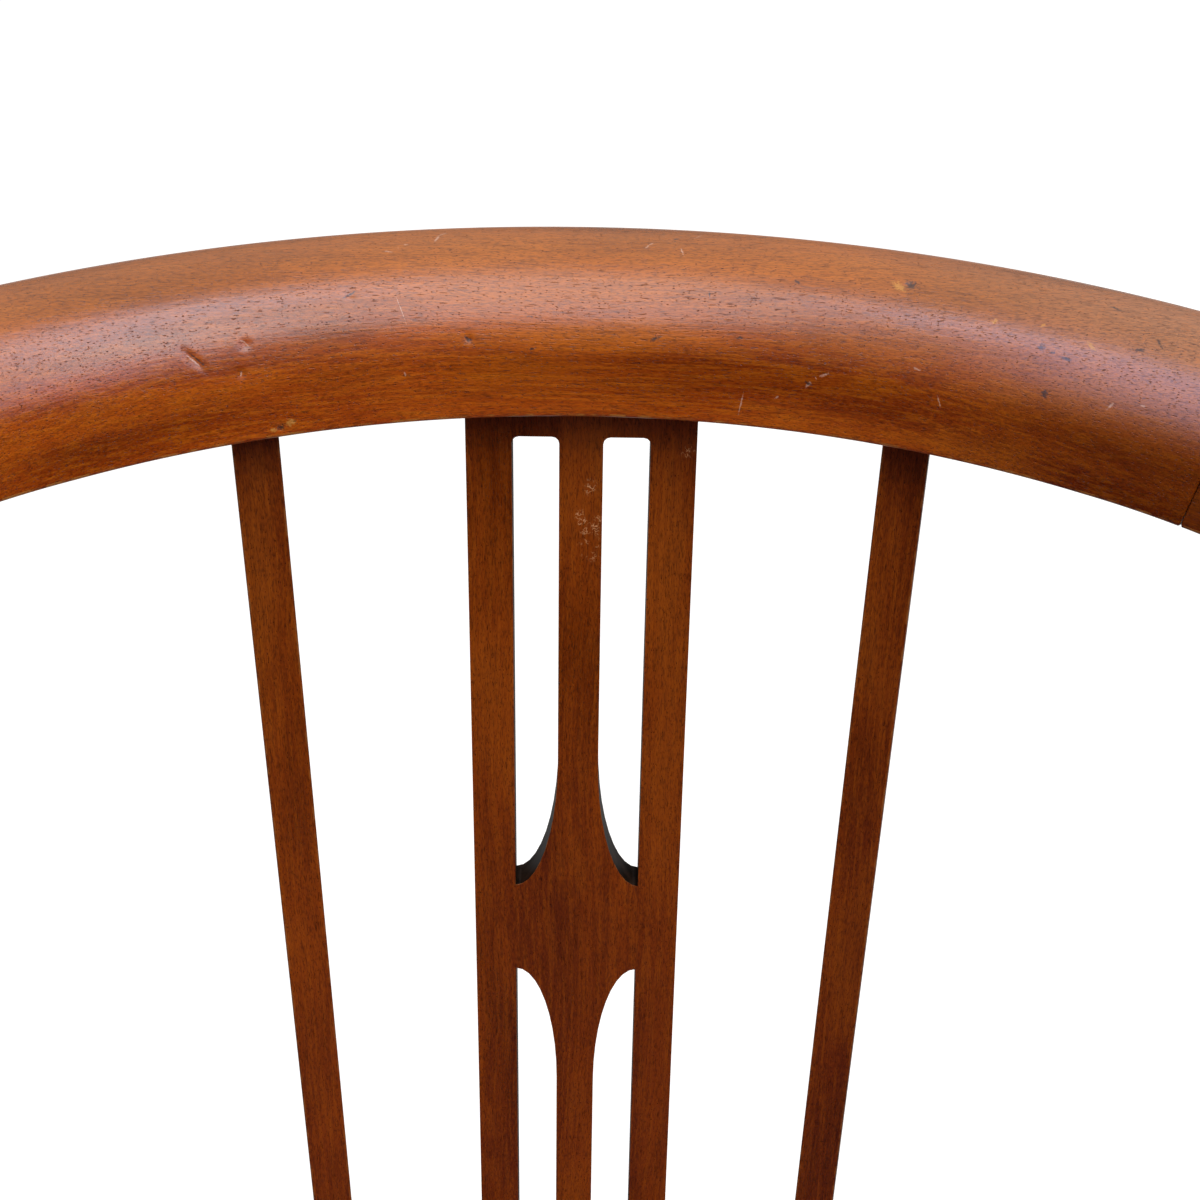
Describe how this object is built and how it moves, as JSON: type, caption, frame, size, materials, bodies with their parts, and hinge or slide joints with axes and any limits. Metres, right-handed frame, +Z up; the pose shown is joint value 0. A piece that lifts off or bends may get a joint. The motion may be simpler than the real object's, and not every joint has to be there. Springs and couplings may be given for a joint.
{
  "type": "tub armchair",
  "caption": "Mahogany tub armchair: rounded horseshoe rail on pierced splats, spindles and square leg posts, over a rebated seat frame with a lift-out upholstered seat.",
  "frame": {"origin": "on the floor, under the middle of the chair's outline", "axes": "+Z up, -Y out of the front of the seat, +X to the right of someone looking at the front"},
  "size_m": [0.5664, 0.5146, 0.791],
  "materials": {
    "mahogany_rail": "worn french polish on tan-brown mahogany",
    "mahogany_frame": "worn french polish on dark red-brown mahogany",
    "beech": "unfinished, planed",
    "screw_steel": "dull, aged",
    "jute_webbing": "coarse plain weave",
    "hessian": "open plain weave",
    "horsehair": "matted hair",
    "crimson_leather": "fine grain, satin"
  },
  "bodies": {
    "frame": {"back_rail": "mahogany_rail", "arm_left": "mahogany_rail", "arm_right": "mahogany_rail", "rail_dowel_left_inner": "beech", "rail_dowel_left_outer": "beech", "rail_dowel_right_inner": "beech", "rail_dowel_right_outer": "beech", "back_splat": "mahogany_frame", "back_spindle_left": "mahogany_frame", "back_spindle_right": "mahogany_frame", "side_splat_left": "mahogany_frame", "side_splat_right": "mahogany_frame", "rear_leg_left": "mahogany_frame", "rear_leg_right": "mahogany_frame", "front_leg_left": "mahogany_frame", "front_leg_right": "mahogany_frame", "seat_rail_front": "mahogany_frame", "seat_rail_back": "mahogany_frame", "seat_rail_left": "mahogany_frame", "seat_rail_right": "mahogany_frame", "corner_block_left": "beech", "corner_block_right": "beech", "block_screw_left_front": "screw_steel", "block_screw_left_side": "screw_steel", "block_screw_right_front": "screw_steel", "block_screw_right_side": "screw_steel", "stretcher_left": "mahogany_frame", "stretcher_right": "mahogany_frame", "stretcher_cross": "mahogany_frame"},
    "drop_in_seat": {"seat_frame_front": "beech", "seat_frame_back": "beech", "seat_frame_left": "beech", "seat_frame_right": "beech", "webbing_long_1": "jute_webbing", "webbing_long_2": "jute_webbing", "webbing_long_3": "jute_webbing", "webbing_cross_1": "jute_webbing", "webbing_cross_2": "jute_webbing", "webbing_cross_3": "jute_webbing", "seat_hessian": "hessian", "seat_stuffing": "horsehair", "seat_cover": "crimson_leather"}
  },
  "joints": [
    {"name": "seat_lift", "type": "slide", "parent": "frame", "child": "drop_in_seat", "axis": [0, 0, 1], "range_m": [0, 0.06]}
  ]
}
